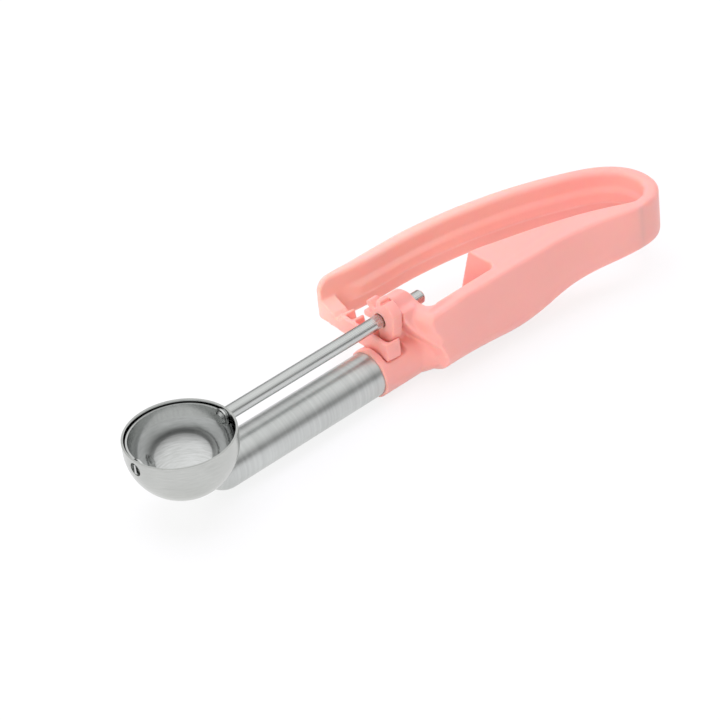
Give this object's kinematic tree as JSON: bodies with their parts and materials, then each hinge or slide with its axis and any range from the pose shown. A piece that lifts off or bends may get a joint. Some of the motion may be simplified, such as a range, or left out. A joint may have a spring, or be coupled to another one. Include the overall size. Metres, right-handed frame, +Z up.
{
  "type": "ice cream disher",
  "caption": "Squeeze-handle ice cream disher: round bowl on a tube, one-piece plastic loop handle whose arm drives a toothed rack, pinion, rod and scraper blade.",
  "frame": {"origin": "centre of the whole tool's footprint, on the surface it rests on", "axes": "+X along the tube from bowl to handle end, +Y towards the squeeze arm, +Z up out of the bowl"},
  "size_m": [0.2198, 0.0548, 0.0333],
  "materials": {
    "bowl_steel": "satin outside, polished inside",
    "braze": "smoothed filler metal",
    "tube_steel": "fine lengthwise grain",
    "blade_steel": "polished strip",
    "rod_steel": "bright drawn rod",
    "pinion_plastic": "semi-gloss moulded",
    "handle_plastic": "semi-gloss moulded",
    "arm_plastic": "semi-gloss moulded",
    "pin_steel": "plain"
  },
  "bodies": {
    "frame": {"handle_body": "handle_plastic", "tube": "tube_steel", "bowl": "bowl_steel", "braze_fillet": "braze", "tube_pin": "pin_steel"},
    "arm": {"squeeze_arm": "arm_plastic"},
    "drive": {"drive_rod": "rod_steel", "pinion": "pinion_plastic", "scraper_blade": "blade_steel"}
  },
  "joints": [
    {"name": "arm_squeeze", "type": "hinge", "parent": "frame", "child": "arm", "pos_m": [0.09886, 0.00181, 0.02024], "axis": [0, 0, 1], "range_deg": [0, 9], "stiffness_Nm_per_rad": 5, "springref_deg": -1.72},
    {"name": "blade_sweep", "type": "hinge", "parent": "frame", "child": "drive", "pos_m": [-0.04154, -0.00359, 0.02544], "axis": [1, 0, 0], "range_deg": [-147.3, 0]}
  ],
  "couplings": [
    {"joint": "blade_sweep", "follows": "arm_squeeze", "ratio": -16.36}
  ]
}
